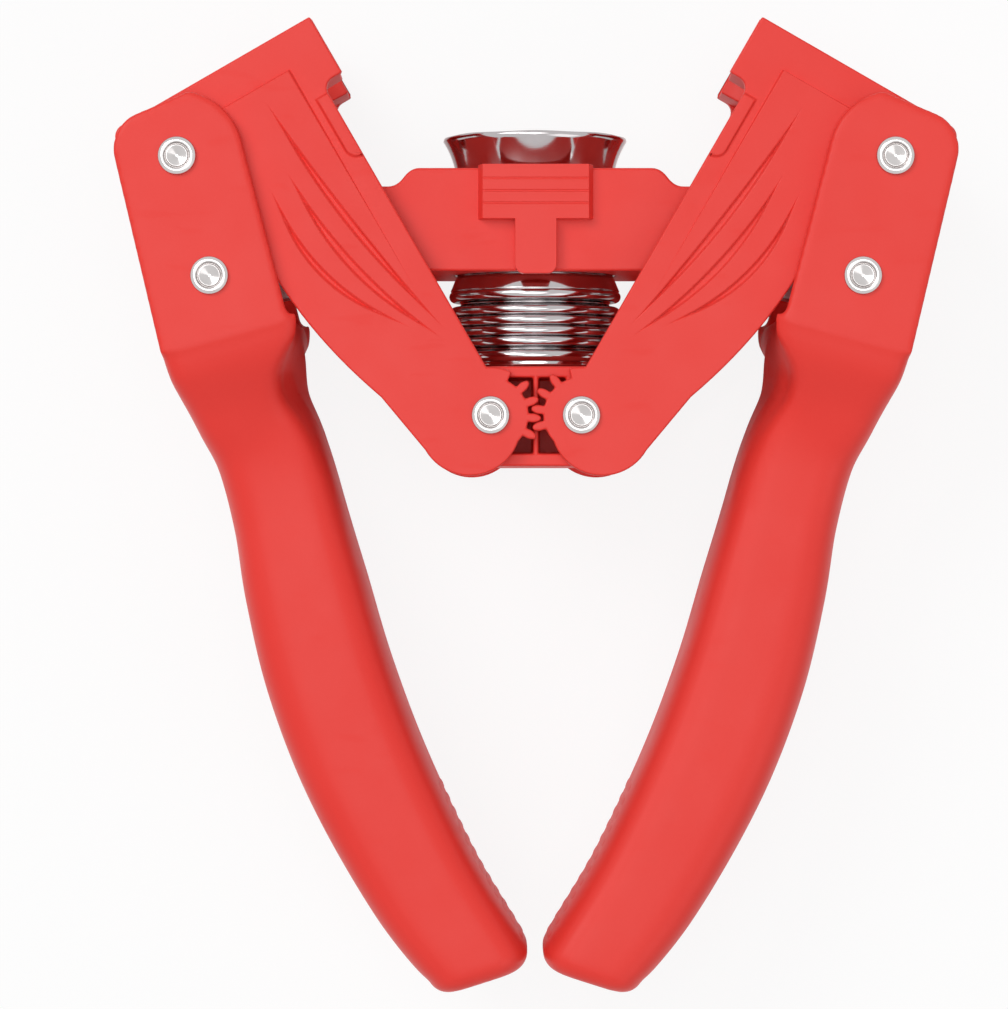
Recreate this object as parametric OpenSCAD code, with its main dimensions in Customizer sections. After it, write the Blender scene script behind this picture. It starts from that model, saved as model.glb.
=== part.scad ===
// Twin-lever crown capper: two geared jaw arms, two forked levers and a sliding bell carriage.
// The tool lies on its back. +Y points out of the bell, +Z towards the front face.
// The origin is the middle of the crown seat inside the bell.

/* [Gears and pivots] */
// Module of the gear teeth
gear_module = 1.25; // [1.1:0.05:1.4]
// Teeth of a full gear
gear_teeth = 16; // [16:2:18]
// Thinning of each tooth for backlash
gear_backlash = 0.3; // [0.25:0.05:0.5]
// Turn of each arm from rest to closed jaws
arm_travel = 30; // [26:1:30]
// Distance from the gear pivots to the crown seat
pivot_to_seat = 51.5; // [50:0.5:53]
// Lever pivot in the closed arm, outwards from the gear pivot
lever_pivot_x = 31.1; // [30:0.1:32]
// Lever pivot in the closed arm, up from the gear pivot
lever_pivot_y = 83.4; // [82:0.1:84]
// Link rivet at rest, inwards from the lever pivot
link_rivet_in = 7.1; // [6.5:0.1:7.5]
// Link rivet at rest, down from the lever pivot
link_rivet_down = 26.2; // [25.5:0.1:27]
// Carriage pin, outwards from the bell axis
carriage_pin_x = 37.5; // [37:0.1:38.5]
// Carriage pin above the underside of the carriage
carriage_pin_rise = 3.8; // [3.5:0.1:4.8]

/* [Arm] */
// Thickness of each arm plate
arm_plate = 4; // [3:0.1:5]
// Room between the two plates of an arm
arm_gap = 49; // [48.6:0.1:54]
// Inner edge of the arm from the gear pivot
arm_inner = 4.5; // [4:0.1:5]
// Jaw face from the gear pivot
jaw_face = 9.4; // [8:0.1:9.6]
// Top of the jaw slab above the gear pivot
jaw_top = 96; // [95:0.1:98]
// Thickness of the jaw slab
jaw_slab = 8; // [6:0.1:10]
// Height of the jaw from its step to its top
jaw_height = 14.2; // [12:0.1:15]
// Radius of the bottle neck cut in the jaws
neck_r = 13.5; // [12:0.1:15]
// Radius of the round arm foot
arm_foot_r = 11.3; // [11:0.1:12.5]
// Radius of the lever pivot barrel between the plates
barrel_r = 6.5; // [5:0.1:8]
// Depth of the moulded flutes
flute_depth = 0.8; // [0.3:0.1:2]
// Step from the raised panel down to the jaw band
panel_step = 1; // [0.4:0.1:1.6]
// Edge of the raised panel from the inner edge of the arm
panel_in = 5; // [4:0.1:6]
// Width of the pad at the inner edge
pad_w = 3; // [2:0.1:3.5]
// Length of the pad below the jaw
pad_length = 15.5; // [10:0.1:20]

/* [Lever] */
// Thickness of each fork cheek
cheek = 4; // [3:0.1:6]
// Radius of the round cheek end
cheek_r = 14.4; // [13.4:0.1:15]
// Neck of the lever, inwards from the link rivet
neck_in = 3.2; // [2.8:0.1:3.6]
// Neck of the lever, down from the link rivet
neck_down = 12.3; // [11.8:0.1:13]
// Reach of the grip from the neck to its last ring, along the tool
grip_reach = 141; // [130:1:150]
// Half width of the grip at its widest
grip_half_width = 14.35; // [13:0.05:15]
// Half depth of the grip
grip_half_depth = 20; // [16:0.5:22]
// Radius of the bosses beside the link
boss_r = 5; // [4:0.1:6]

/* [Link] */
// Thickness of the link
link_t = 10; // [8:0.1:12]
// Radius of the link at the carriage pin
link_end_r = 6; // [5:0.1:6.5]
// Radius of the open eye that the link rivet moves in
link_eye_r = 4.7; // [4.5:0.05:5.4]
// How far the middle of the open eye lies below the link rivet at rest
link_eye_drop = 1.8; // [1.6:0.05:1.9]
// Wall round the open eye
link_eye_wall = 2.6; // [2:0.1:3.5]

/* [Carriage] */
// Half depth of the carriage
carriage_half_depth = 20.5; // [20:0.1:21.5]
// Top of the carriage above the gear pivots
carriage_top = 55.1; // [54.5:0.1:57]
// Underside of the carriage above the gear pivots
carriage_foot = 32.2; // [31:0.1:32.5]
// Half length of the top edge
carriage_crown_x = 27.8; // [26.5:0.1:28.5]
// Half length at the shoulders
carriage_shoulder_x = 30.8; // [30:0.1:33]
// Height of the shoulders above the gear pivots
carriage_shoulder_y = 51; // [48:0.1:52]
// Half length of the whole carriage
carriage_end_x = 45; // [44.5:0.1:47]
// Wall of the carriage pockets
carriage_wall = 3; // [2:0.1:4]
// How far each clip stands out
clip_t = 3.4; // [2:0.1:3.6]
// Half width of the clip bar
clip_bar_x = 12.8; // [10:0.1:14]
// Height of the clip bar
clip_bar_h = 12.1; // [10:0.1:14]
// Half width of the clip stem
clip_stem_x = 4.6; // [3:0.1:6]
// Depth of the finger grooves across the clip bar
clip_groove = 0.2; // [0.2:0.1:0.8]

/* [Bell] */
// Radius of the throat that crimps the crown
throat_r = 14.35; // [14:0.05:15]
// Length of the straight throat
throat_length = 7; // [5:0.1:8]
// Height of the rim above the crown seat
rim_height = 12; // [11:0.1:13]
// Outer radius of the rim
rim_r = 20.8; // [20:0.1:21.5]
// Outer radius of the bell body
bell_r = 18.3; // [18:0.1:18.7]
// Outer radius of the bell where it rests on the carriage
bell_flange_r = 18.9; // [18.8:0.1:19.6]
// Height over which the bell flares out to its rim
bell_flare = 3.2; // [2:0.1:5]
// Thickness of the bell floor
bell_floor = 7; // [5:0.1:9]
// Depth of the scallops in the rim
scallop = 0.5; // [0.3:0.1:1.5]
// Radius of the cap magnet
magnet_r = 5; // [3:0.1:7]
// Thickness of the cap magnet
magnet_t = 3; // [2:0.1:4]

/* [Sleeve and hub] */
// Outer radius of the ribbed sleeve
sleeve_r = 19.5; // [19:0.1:20.5]
// Radius of the spigot that joins bell and sleeve
spigot_r = 15; // [14:0.1:16]
// Length of the spigot
spigot_length = 8; // [6:0.1:10]
// Radius of the guide post
post_r = 12; // [10:0.1:12.5]
// Length of the guide post above the hub
post_length = 25; // [22:0.5:28]
// Top of the hub above the gear pivots
hub_top = 10.9; // [10:0.1:11]
// Foot of the hub below the gear pivots
hub_foot = 11.2; // [10:0.1:12]
// Half width of the hub
hub_half = 17; // [16:0.1:18]
// Depth of the windows in the hub
window_depth = 14; // [8:0.5:18]

/* [Rivets and fits] */
// Radius of the gear and lever rivets
rivet_r = 3; // [2.5:0.1:3.2]
// Radius of the link rivets and carriage pins
pin_r = 2.5; // [2:0.1:2.8]
// Radius of the rivet heads
rivet_head_r = 4.2; // [3.8:0.1:5]
// Thickness of the rivet heads
rivet_head_t = 1.4; // [1:0.1:2]
// Radial play of a running pivot
pivot_play = 0.06; // [0.02:0.01:0.1]
// Gap between faces that move past each other
face_gap = 0.3; // [0.2:0.05:0.4]
// Radial play of the sleeve on its post
post_play = 0.1; // [0.05:0.01:0.2]
// Radial play of pieces that are fixed together
seat_play = 0.03; // [0.01:0.01:0.05]

/* [Hidden] */
$fn = 96;
RED = [0.86, 0.16, 0.14];
STEEL = [0.78, 0.79, 0.80];
CHROME = [0.88, 0.89, 0.90];
DARK = [0.25, 0.25, 0.27];
// Overrun of a cut past the face that it opens
cut = 1;

// Gear sizes
pressure_angle = 20;
tip_share = 0.92;
root_share = 1.3;
pitch_r = gear_module * gear_teeth / 2;
base_r = pitch_r * cos(pressure_angle);
tip_r = pitch_r + tip_share * gear_module;
root_r = pitch_r - root_share * gear_module;
tooth_pitch = 360 / gear_teeth;

// Depths from the middle plane outwards
plate_in = arm_gap / 2;
plate_out = plate_in + arm_plate;
cheek_in = plate_out + face_gap;
cheek_out = cheek_in + cheek;
hub_half_depth = plate_in - face_gap;

// Places measured from the middle of the two gear pivots
lever_arm = [lever_pivot_x, lever_pivot_y];
lever_pivot = [pitch_r, 0] + turned(lever_arm, -arm_travel);
link_rivet = lever_pivot - [link_rivet_in, link_rivet_down];
carriage_pin = [carriage_pin_x, carriage_foot + carriage_pin_rise];
// The open eye sits off the rivet at rest, so that the rivet keeps inside it over the stroke
link_eye = link_rivet - [0, link_eye_drop];
sleeve_foot = hub_top + face_gap;
rim_y = pivot_to_seat + rim_height;

// Stations down the lever: place across and along as shares of the reach, half width as a share of the
// widest, and share of the fork's depth that is left
neck = link_rivet - [neck_in, neck_down];
grip_path = [
    [0, 0, 1.03, 1],
    [-0.014, -0.051, 1.017, 0.86],
    [-0.034, -0.117, 0.9, 0.43],
    [-0.0635, -0.185, 0.871, 0.13],
    [-0.092, -0.29, 0.885, 0],
    [-0.118, -0.403, 0.962, 0],
    [-0.1565, -0.546, 1, 0],
    [-0.217, -0.703, 0.986, 0],
    [-0.307, -0.876, 0.909, 0],
    [-0.3925, -1, 0.815, 0]
];
// Turn of the end face against the run of the grip
tip_turn = 17;
// Rings between two stations, and corners of a ring
grip_steps = 4;
grip_corners = 32;
// Rings that round the tip, and how far the round reaches
tip_steps = 5;
tip_round = 4;

function turned(p, a) = [p[0] * cos(a) - p[1] * sin(a), p[0] * sin(a) + p[1] * cos(a)];
function polar(c, r, a) = c + r * [cos(a), sin(a)];
function arc(c, r, a0, a1, n = 12) = [for (i = [0:n]) polar(c, r, a0 + (a1 - a0) * i / n)];
function bend(a, b, c, n = 12) =
    [for (i = [0:n]) let (t = i / n) a * (1 - t) * (1 - t) + b * 2 * t * (1 - t) + c * t * t];

// Involute tooth, pointing along +X
function involute(r) =
    let (a = acos(min(1, base_r / r))) tan(a) * 180 / PI - a;
function tooth_half(r) =
    (90 - gear_backlash * 90 / PI / gear_module) / gear_teeth
    + involute(pitch_r) - involute(max(r, base_r));
// Each tooth starts a little below the root circle
tooth_start = root_r - 0.4;
function tooth_flank() =
    [for (i = [0:7]) let (r = tooth_start + (tip_r - tooth_start) * i / 7) polar([0, 0], r, tooth_half(r))];
function tooth() =
    let (f = tooth_flank()) concat(f, [for (i = [len(f) - 1:-1:0]) [f[i][0], -f[i][1]]]);

// Closed arm seen from the front, gear pivot at the origin, outwards along +X
jaw_step = jaw_top - jaw_height;
jaw_round = 2.5;
slab_end = 7.3;
slab_corner_r = 3;
// How far the arm keeps behind the round end of the cheek
arm_behind = 2.9;
// Middle of the round foot, and bends of the outer edge above it
foot = [5, 0.5];
arm_back = [[25.9, 52], [25.6, 34], [18.9, 15.5]];
function arm_outline() = concat(
    [[-arm_inner, 0]],
    arc([-arm_inner - jaw_round, jaw_step - jaw_round], jaw_round, 0, 90, 6),
    [[-jaw_face, jaw_step], [-jaw_face, jaw_top]],
    arc([lever_pivot_x + slab_end, jaw_top - slab_corner_r], slab_corner_r, 90, 20, 6),
    arc(lever_arm, cheek_r - arm_behind, 10, -80),
    bend(arm_back[0], arm_back[1], arm_back[2]),
    [foot + [arm_foot_r, 0], foot]
);

module gear_teeth_2d(first) {
    for (i = [0:3])
        rotate(180 - first + i * tooth_pitch) polygon(tooth());
}

module arm_plate_2d(first) {
    polygon(arm_outline());
    translate(foot) circle(arm_foot_r);
    circle(root_r);
    // Plain rim from the first tooth to the inner edge
    polygon(concat([[0, 0]], arc([0, 0], tip_r - 0.6, 180 - first - tooth_pitch, 180 - first - 60, 8)));
    gear_teeth_2d(first);
}

// Curved leaf with pointed ends from a to b, between two bows of the given rise
function bowed(a, b, rise) =
    let (d = (b - a) / norm(b - a)) bend(a, (a + b) / 2 + 2 * rise * [-d[1], d[0]], b, 16);
module leaf_2d(a, b, outer, inner) {
    back = bowed(a, b, inner);
    polygon(concat(bowed(a, b, outer), [for (i = [len(back) - 2:-1:1]) back[i]]));
}

module flutes_2d() {
    leaf_2d([8, 77], [1, 28.8], 1.9, 0.5);
    leaf_2d([12, 63.1], [3.3, 25.3], 3.1, 1.5);
    leaf_2d([17.6, 61.2], [9.3, 30.8], 3.6, 2.4);
}

// What lies lower than the raised panel: the jaw band, and a strip at the inner edge that runs out downwards
module panel_cut() {
    band = jaw_top - jaw_slab;
    strip_foot = 30;
    pad_round = 2.6;
    pad_top = jaw_step - jaw_round;
    difference() {
        union() {
            translate([-jaw_face - cut, band, -panel_step])
                cube([lever_pivot_x + jaw_face + 2 * slab_end, jaw_slab + cut, panel_step + cut]);
            translate([-jaw_face - cut, 0, 0]) rotate([90, 0, 90])
                linear_extrude(jaw_face + cut - arm_inner + panel_in) polygon([
                    [strip_foot, 0], [band + cut / 2, -panel_step],
                    [band + cut / 2, cut], [strip_foot, cut]
                ]);
        }
        translate([-arm_inner, pad_top, -2 * panel_step])
            linear_extrude(2 * panel_step + 2 * cut) polygon(concat(
                [[-cut, 0], [-cut, -pad_length]],
                arc([pad_w - pad_round, -pad_length + pad_round], pad_round, 270, 360, 8),
                [[pad_w, 0]]
            ));
    }
}

module arm_closed(first) {
    band = jaw_top - jaw_slab;
    slab_in = -jaw_face + 0.3;
    slab_out = lever_pivot_x + 4;
    jaw_back = 2;
    difference() {
        union() {
            for (z = [plate_in, -plate_out])
                translate([0, 0, z]) linear_extrude(arm_plate) arm_plate_2d(first);
            translate([0, 0, -plate_in]) linear_extrude(arm_gap) polygon([
                [slab_in, jaw_step], [jaw_back, jaw_step], [jaw_back, band],
                [slab_out, band], [slab_out, jaw_top], [slab_in, jaw_top]
            ]);
            translate([lever_pivot_x, lever_pivot_y, -plate_in]) cylinder(r = barrel_r, h = arm_gap);
        }
        // Half round for the bottle neck, on the bell axis of the closed jaws
        translate([-pitch_r, jaw_step - cut, 0]) rotate([-90, 0, 0])
            cylinder(r = neck_r, h = jaw_height + 2 * cut);
        translate([0, 0, -plate_out - cut]) cylinder(r = rivet_r + pivot_play, h = 2 * (plate_out + cut));
        translate([lever_pivot_x, lever_pivot_y, -plate_out - cut])
            cylinder(r = rivet_r + seat_play, h = 2 * (plate_out + cut));
        for (side = [0, 1]) mirror([0, 0, side]) translate([0, 0, plate_out]) {
            translate([0, 0, -flute_depth]) linear_extrude(flute_depth + cut) flutes_2d();
            panel_cut();
        }
    }
}

// A tubular rivet through both sides: shank, two flat heads and their cupped ends
rivet_edge = 0.4;
head_gap = 0.1;
cup_r = 2.4;
cup_lip = 0.6;
cup_depth = 2.4;
module rivet(shank_r, head_face) {
    head = head_face + rivet_head_t;
    half = [
        [shank_r, head_face], [rivet_head_r, head_face], [rivet_head_r, head - rivet_edge],
        [rivet_head_r - rivet_edge, head], [cup_r + cup_lip, head], [cup_r, head - rivet_edge],
        [1, head - cup_depth + 0.2], [0, head - cup_depth]
    ];
    rotate_extrude() polygon(concat([for (i = [len(half) - 1:-1:0]) [half[i][0], -half[i][1]]], half));
}

// Smooth value between stations b and c
function flow(a, b, c, d, t) =
    b + t / 2 * (c - a + t * (2 * a - 5 * b + 4 * c - d + t * (3 * (b - c) + d - a)));
function station(i) = grip_path[max(0, min(len(grip_path) - 1, i))];
function on_path(u) =
    let (i = min(floor(u), len(grip_path) - 2), t = u - i)
    flow(station(i - 1), station(i), station(i + 1), station(i + 2), t);
function heading(u) =
    let (e = 0.02, last = len(grip_path) - 1, d = on_path(min(last, u + e)) - on_path(max(0, u - e)))
    atan2(d[1], d[0]);
// A ring is nearly square at the fork and rounder along the grip
function squared(v, fork) = sign(v) * pow(abs(v), 0.4 - 0.28 * fork);
function ring_turn(u) = heading(u) + tip_turn * pow(max(0, u - len(grip_path) + 2), 2);
function grip_ring(u, shrink, ahead) =
    let (s = on_path(u), a = ring_turn(u), fork = max(0, s[3]), wide = s[2] * grip_half_width,
        deep = grip_half_depth + fork * (cheek_out - grip_half_depth))
    [for (k = [0:grip_corners - 1]) let (
        b = 360 * k / grip_corners,
        across = (wide - shrink) * squared(cos(b), fork),
        p = neck + grip_reach * [s[0], s[1]] + turned([ahead, across], a)
    ) [p[0], p[1], (deep - shrink) * squared(sin(b), fork)]];
function grip_rings() = concat(
    [for (i = [0:(len(grip_path) - 1) * grip_steps]) grip_ring(i / grip_steps, 0, 0)],
    [for (i = [1:tip_steps]) let (q = 90 * i / tip_steps)
        grip_ring(len(grip_path) - 1, tip_round * (1 - cos(q)), tip_round * sin(q))]
);

module grip() {
    rings = grip_rings();
    n = grip_corners;
    last = len(rings) - 1;
    polyhedron(
        points = [for (ring = rings) for (p = ring) p],
        faces = concat(
            [[for (k = [0:n - 1]) k]],
            [for (i = [0:last - 1]) for (k = [0:n - 1])
                [i * n + k, (i + 1) * n + k, (i + 1) * n + (k + 1) % n, i * n + (k + 1) % n]],
            [[for (k = [n - 1:-1:0]) last * n + k]]
        )
    );
}

// Fork cheek at rest. Its top lies flush with the jaw slab, with a small round corner outside
cheek_corner_r = 2.5;
cheek_corner_out = 8.3;
// How far the cheek runs into the grip
cheek_sunk = 1.5;
// How far the sides of the grip's top stand out past the cheek
cheek_lap = 0.6;
module cheek_2d() {
    lift = jaw_top - lever_pivot_y;
    slab = 90 - arm_travel;
    corner = lever_pivot + turned([cheek_corner_out, lift - cheek_corner_r], -arm_travel);
    chord = acos(lift / cheek_r);
    side = grip_path[0][2] * grip_half_width - cheek_lap;
    polygon(concat(
        [neck + turned([cheek_sunk, -side], heading(0))],
        arc(lever_pivot, cheek_r, heading(0) + 270, slab + chord, 16),
        arc(corner, cheek_corner_r, slab, -12, 6),
        [neck + turned([cheek_sunk, side], heading(0))]
    ));
}

module lever() {
    difference() {
        union() {
            grip();
            for (z = [cheek_in, -cheek_out])
                translate([0, 0, z]) linear_extrude(cheek) cheek_2d();
            for (z = [link_t / 2 + face_gap, -cheek_in])
                translate([link_rivet[0], link_rivet[1], z])
                    cylinder(r = boss_r, h = cheek_in - link_t / 2 - face_gap);
        }
        translate([lever_pivot[0], lever_pivot[1], -cheek_out - cut])
            cylinder(r = rivet_r + pivot_play, h = 2 * (cheek_out + cut));
        translate([link_rivet[0], link_rivet[1], -cheek_out - cut])
            cylinder(r = pin_r + seat_play, h = 2 * (cheek_out + cut));
    }
}

module link() {
    eye_out = link_eye_r + link_eye_wall;
    link_waist = 1;
    along = link_eye - carriage_pin;
    translate([carriage_pin[0], carriage_pin[1], -link_t / 2])
        rotate(atan2(along[1], along[0])) difference() {
            union() {
                cylinder(r = link_end_r, h = link_t);
                translate([norm(along), 0, 0]) cylinder(r = eye_out, h = link_t);
                translate([0, link_waist - link_end_r, 0])
                    cube([norm(along) - link_eye_r, 2 * (link_end_r - link_waist), link_t]);
            }
            translate([0, 0, -cut]) cylinder(r = pin_r + pivot_play, h = link_t + 2 * cut);
            translate([norm(along), 0, -cut]) cylinder(r = link_eye_r, h = link_t + 2 * cut);
        }
}

module carriage_2d() {
    end_r = 5;
    soft = 2;
    crown = [carriage_crown_x, carriage_top];
    shoulder = [carriage_shoulder_x, carriage_shoulder_y];
    half = concat(
        bend(crown - [soft, 0], crown, (crown + shoulder) / 2, 6),
        bend((crown + shoulder) / 2, shoulder, shoulder + [soft, 0], 6),
        arc([carriage_end_x - end_r, carriage_shoulder_y - end_r], end_r, 90, 0, 8),
        arc([carriage_end_x - end_r, carriage_foot + end_r], end_r, 0, -90, 8)
    );
    polygon(concat(half, [for (i = [len(half) - 1:-1:0]) [-half[i][0], half[i][1]]]));
}

// Room between the link and the bottom of its slot, and how far a pin stands out of its ears
slot_room = 1.5;
pin_out = 0.6;
module carriage_body() {
    slot_half = link_t / 2 + face_gap;
    ear = slot_half + carriage_wall;
    pocket = carriage_half_depth - carriage_wall - ear;
    pocket_h = carriage_shoulder_y - carriage_wall - carriage_foot;
    slot_x = carriage_pin_x - link_end_r - slot_room;
    difference() {
        translate([0, 0, -carriage_half_depth]) linear_extrude(2 * carriage_half_depth) carriage_2d();
        translate([0, carriage_foot - cut, 0]) rotate([-90, 0, 0])
            cylinder(r = bell_r + seat_play, h = carriage_top - carriage_foot + 2 * cut);
        for (s = [1, -1]) mirror([s < 0 ? 1 : 0, 0, 0]) {
            translate([slot_x, carriage_foot - cut, -slot_half])
                cube([carriage_end_x, carriage_top - carriage_foot + 2 * cut, 2 * slot_half]);
            // Moulded pockets between the ears and the outer walls, open below and at the ends
            for (z = [ear, -ear - pocket])
                translate([slot_x, carriage_foot - cut, z]) cube([carriage_end_x, pocket_h + cut, pocket]);
            translate([carriage_pin[0], carriage_pin[1], -ear - cut])
                cylinder(r = pin_r + seat_play, h = 2 * (ear + cut));
        }
    }
}

module carriage_pin_body() {
    half = link_t / 2 + face_gap + carriage_wall + pin_out;
    translate([carriage_pin[0], carriage_pin[1], -half]) cylinder(r = pin_r, h = 2 * half);
}

// Turned pieces: a profile of radius and height about the bell axis
module turned_piece(profile) {
    rotate([-90, 0, 0]) mirror([0, 0, 1]) rotate([180, 0, 0]) rotate_extrude() polygon(profile);
}

module bell_body() {
    seat = pivot_to_seat;
    foot_y = carriage_foot - spigot_length;
    flange_y = carriage_top + seat_play;
    edge = 0.8;
    lobes = 8;
    lobe_r = 12;
    difference() {
        turned_piece(concat(
            [[post_r + post_play, foot_y], [spigot_r, foot_y], [spigot_r, carriage_foot],
             [bell_r, carriage_foot], [bell_r, flange_y]],
            bend([bell_flange_r, flange_y], [bell_flange_r, rim_y - bell_flare], [rim_r, rim_y - edge], 8),
            [[rim_r - edge / 2, rim_y], [rim_r - 2 * edge, rim_y],
             [throat_r + 1.5 * edge, seat + throat_length + edge], [throat_r, seat + throat_length],
             [throat_r, seat], [magnet_r + seat_play, seat], [magnet_r + seat_play, seat - magnet_t],
             [0, seat - magnet_t], [0, seat - bell_floor], [post_r + post_play, seat - bell_floor]]
        ));
        // Shallow scallops round the rim
        for (k = [1:lobes]) rotate([0, (k - 0.5) * 360 / lobes, 0])
            translate([0, rim_y + lobe_r - scallop, 0]) cylinder(r = lobe_r, h = rim_r + cut);
    }
}

function bead(y, r, bulge) = [for (a = [-90:30:90]) [r + bulge * cos(a), y + 1.1 * bulge * sin(a)]];
module sleeve_body() {
    waist = bell_r;
    end_bead = 0.9;
    mid_bead = 0.7;
    bead_pitch = 2.37;
    flank = sleeve_r - end_bead;
    low = sleeve_foot + 2.4;
    first = low + 3.2;
    high = low + 13.8;
    socket_y = carriage_foot - spigot_length - seat_play;
    turned_piece(concat(
        [[post_r + post_play, sleeve_foot], [flank, sleeve_foot]],
        bead(low, flank, end_bead),
        [for (k = [0:3]) each bead(first + bead_pitch * k, flank, mid_bead)],
        bead(high, flank, end_bead),
        [[waist, high + 1.2], [waist, carriage_foot], [spigot_r + seat_play, carriage_foot],
         [spigot_r + seat_play, socket_y], [post_r + post_play, socket_y]]
    ));
}

// How far the clip stands past the top and the foot of the carriage, and the draft of its bar
clip_over = 0.6;
clip_under = 0.7;
clip_draft = 33;
module clip_2d() {
    top = carriage_top + clip_over;
    end = carriage_foot - clip_under;
    bar = top - clip_bar_h;
    r = 2;
    polygon(concat(
        [[clip_bar_x, top], [clip_bar_x, bar], [clip_stem_x, bar]],
        arc([clip_stem_x - r, end + r], r, 0, -90, 6),
        arc([-clip_stem_x + r, end + r], r, 270, 180, 6),
        [[-clip_stem_x, bar], [-clip_bar_x, bar], [-clip_bar_x, top]]
    ));
}

module clip_body() {
    translate([0, 0, carriage_half_depth]) difference() {
        linear_extrude(clip_t) clip_2d();
        // Drafted sides of the bar
        for (side = [0, 1]) mirror([side, 0, 0])
            translate([clip_bar_x, carriage_top - clip_bar_h - cut, 0]) rotate([0, -clip_draft, 0])
                translate([0, 0, -clip_t]) cube([3 * clip_t, clip_bar_h + 3 * cut, 4 * clip_t]);
        // Finger grooves across the bar
        for (k = [1:3]) translate([-clip_bar_x, carriage_top - k * clip_bar_h / 4.4, clip_t - clip_groove])
            cube([2 * clip_bar_x, 2 * clip_groove, clip_groove + cut]);
    }
}

// Peg of the guide post in the hub
peg_depth = 6;
peg_r = post_r - 3;
module hub_body() {
    r = 3;
    rib = 1.2;
    window = [6, 16.8];
    boss = rivet_r + 3.4;
    corner_x = hub_half - r;
    difference() {
        translate([0, 0, -hub_half_depth]) linear_extrude(2 * hub_half_depth) polygon(concat(
            arc([corner_x, hub_top - r], r, 0, 90, 6), arc([-corner_x, hub_top - r], r, 90, 180, 6),
            arc([-corner_x, -hub_foot + r], r, 180, 270, 6), arc([corner_x, -hub_foot + r], r, 270, 360, 6)
        ));
        for (s = [1, -1]) translate([s * pitch_r, 0, -hub_half_depth - cut])
            cylinder(r = rivet_r + seat_play, h = 2 * (hub_half_depth + cut));
        // Windows behind the teeth, either side of a thin rib and clear of the pivot bosses
        for (z = [hub_half_depth - window_depth, -hub_half_depth - cut])
            translate([0, 0, z]) linear_extrude(window_depth + cut) difference() {
                for (s = [-1, 1]) translate([s * (window[0] + rib) / 2, 0]) square(window, center = true);
                for (s = [-1, 1]) translate([s * pitch_r, 0]) circle(boss);
            }
        translate([0, hub_top - peg_depth, 0]) rotate([-90, 0, 0])
            cylinder(r = peg_r + seat_play, h = peg_depth + cut);
    }
}

// The post stands on the hub and is pegged into it
module post_body() {
    peg_y = hub_top - peg_depth + seat_play;
    post_y = hub_top + post_length;
    edge = 1;
    turned_piece([
        [0, peg_y], [peg_r, peg_y], [peg_r, hub_top], [post_r, hub_top],
        [post_r, post_y - edge], [post_r - edge, post_y], [0, post_y]
    ]);
}

// Measures from the gear pivots are set down on the crown seat
module seated() { translate([0, -pivot_to_seat, 0]) children(); }
module on_side(s) { seated() mirror([s < 0 ? 1 : 0, 0, 0]) children(); }
module arm(s, first) { on_side(s) translate([pitch_r, 0, 0]) rotate(-arm_travel) arm_closed(first); }

module hub_block() { color(RED) seated() hub_body(); }
module guide_post() { color(STEEL) seated() post_body(); }
module hub_rivet(s) {
    color(STEEL) on_side(s) translate([pitch_r, 0, 0]) rivet(rivet_r, plate_out + head_gap);
}
module left_arm() { color(RED) arm(-1, tooth_pitch / 2); }
module right_arm() { color(RED) arm(1, tooth_pitch); }
module lever_rivet(s) {
    color(STEEL) on_side(s) translate([lever_pivot[0], lever_pivot[1], 0])
        rivet(rivet_r, cheek_out + head_gap);
}
module side_lever(s) { color(RED) on_side(s) lever(); }
module link_rivet_piece(s) {
    color(STEEL) on_side(s) translate([link_rivet[0], link_rivet[1], 0]) rivet(pin_r, cheek_out);
}
module side_link(s) { color(STEEL) on_side(s) link(); }
module side_pin(s) { color(STEEL) on_side(s) carriage_pin_body(); }
module bell_carriage() { color(RED) seated() carriage_body(); }
module bell() { color(CHROME) seated() bell_body(); }
module ribbed_sleeve() { color(CHROME) seated() sleeve_body(); }
module cap_magnet() {
    color(DARK) translate([0, -magnet_t, 0]) rotate([-90, 0, 0]) cylinder(r = magnet_r, h = magnet_t - 0.2);
}
module front_bell_clip() { color(RED) seated() clip_body(); }
module rear_bell_clip() { color(RED) seated() mirror([0, 0, 1]) clip_body(); }

hub_block();
guide_post();
hub_rivet(-1);  // left_hub_rivet
hub_rivet(1);  // right_hub_rivet
left_arm();
right_arm();
lever_rivet(-1);  // left_lever_rivet
lever_rivet(1);  // right_lever_rivet
side_lever(-1);  // left_lever
side_lever(1);  // right_lever
link_rivet_piece(-1);  // left_link_rivet
link_rivet_piece(1);  // right_link_rivet
side_link(-1);  // left_link
side_link(1);  // right_link
side_pin(-1);  // left_carriage_pin
side_pin(1);  // right_carriage_pin
bell_carriage();
bell();
ribbed_sleeve();
cap_magnet();
front_bell_clip();
rear_bell_clip();
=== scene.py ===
"""Crown cap bottle capper: the looks of a red twin-lever hand capper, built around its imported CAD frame.

The tool lies on its back, +Y out of the bell and +Z towards the front, in metres. Sizes in the classes
are in millimetres, in the same frame as the CAD.
"""

import logging
import math
from dataclasses import dataclass, field
from enum import Enum
from typing import Any, Iterable, Optional, Sequence, Union

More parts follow.
